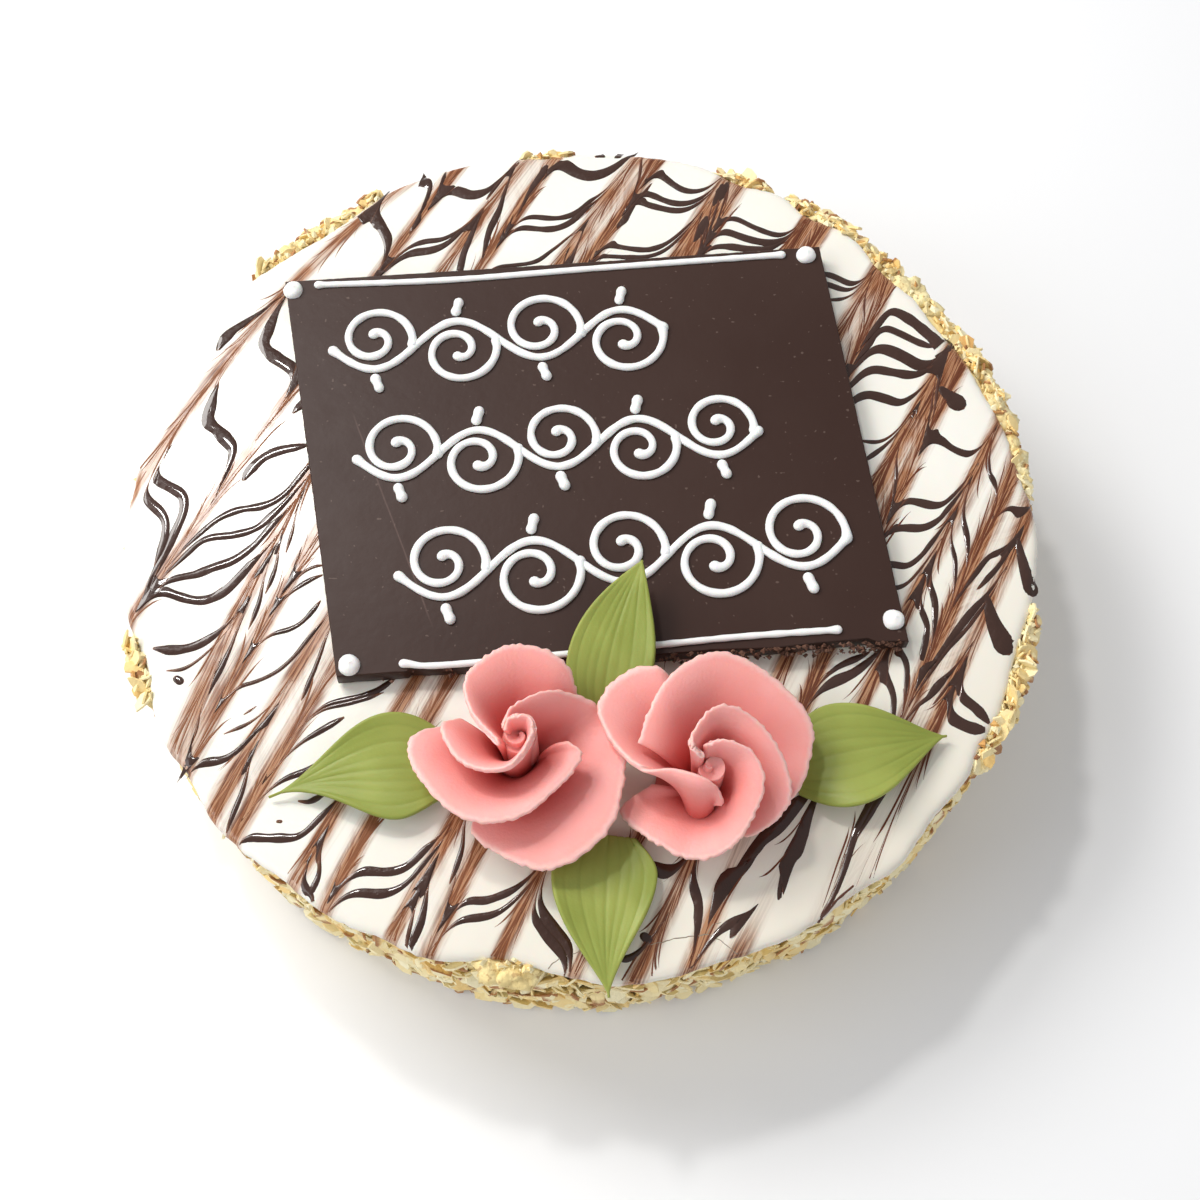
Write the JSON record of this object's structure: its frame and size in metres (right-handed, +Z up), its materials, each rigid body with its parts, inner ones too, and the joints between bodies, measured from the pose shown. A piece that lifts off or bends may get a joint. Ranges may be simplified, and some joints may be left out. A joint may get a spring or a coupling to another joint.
{
  "type": "esterhazy torte",
  "caption": "Round almond-coated cake with feathered white fondant, a piped chocolate plaque, marzipan roses and green leaves.",
  "frame": {"origin": "centre of the cake's round base", "axes": "+Z up, -Y towards the roses, +X to the right as the plaque is read"},
  "size_m": [0.2375, 0.2423, 0.077],
  "materials": {
    "flaked_almond": "matte, pale flaked almonds with toasted brown edges over light cream",
    "fondant": "satin white sugar icing, feathered with dark chocolate lines and brown drag marks",
    "dark_chocolate": "satin dark chocolate",
    "white_piping": "soft gloss white royal icing",
    "chocolate_line": "glossy dark chocolate, drawn thin",
    "pink_marzipan": "soft matte marzipan, paler and crumbly at the rims",
    "green_marzipan": "soft satin marzipan with pressed veins"
  },
  "bodies": {
    "root": {"cake_body": "flaked_almond", "icing": "fondant", "plaque": "dark_chocolate", "rose_left": "pink_marzipan", "rose_right": "pink_marzipan", "leaf_left": "green_marzipan", "leaf_right": "green_marzipan", "leaf_back": "green_marzipan", "leaf_front": "green_marzipan"}
  },
  "joints": []
}
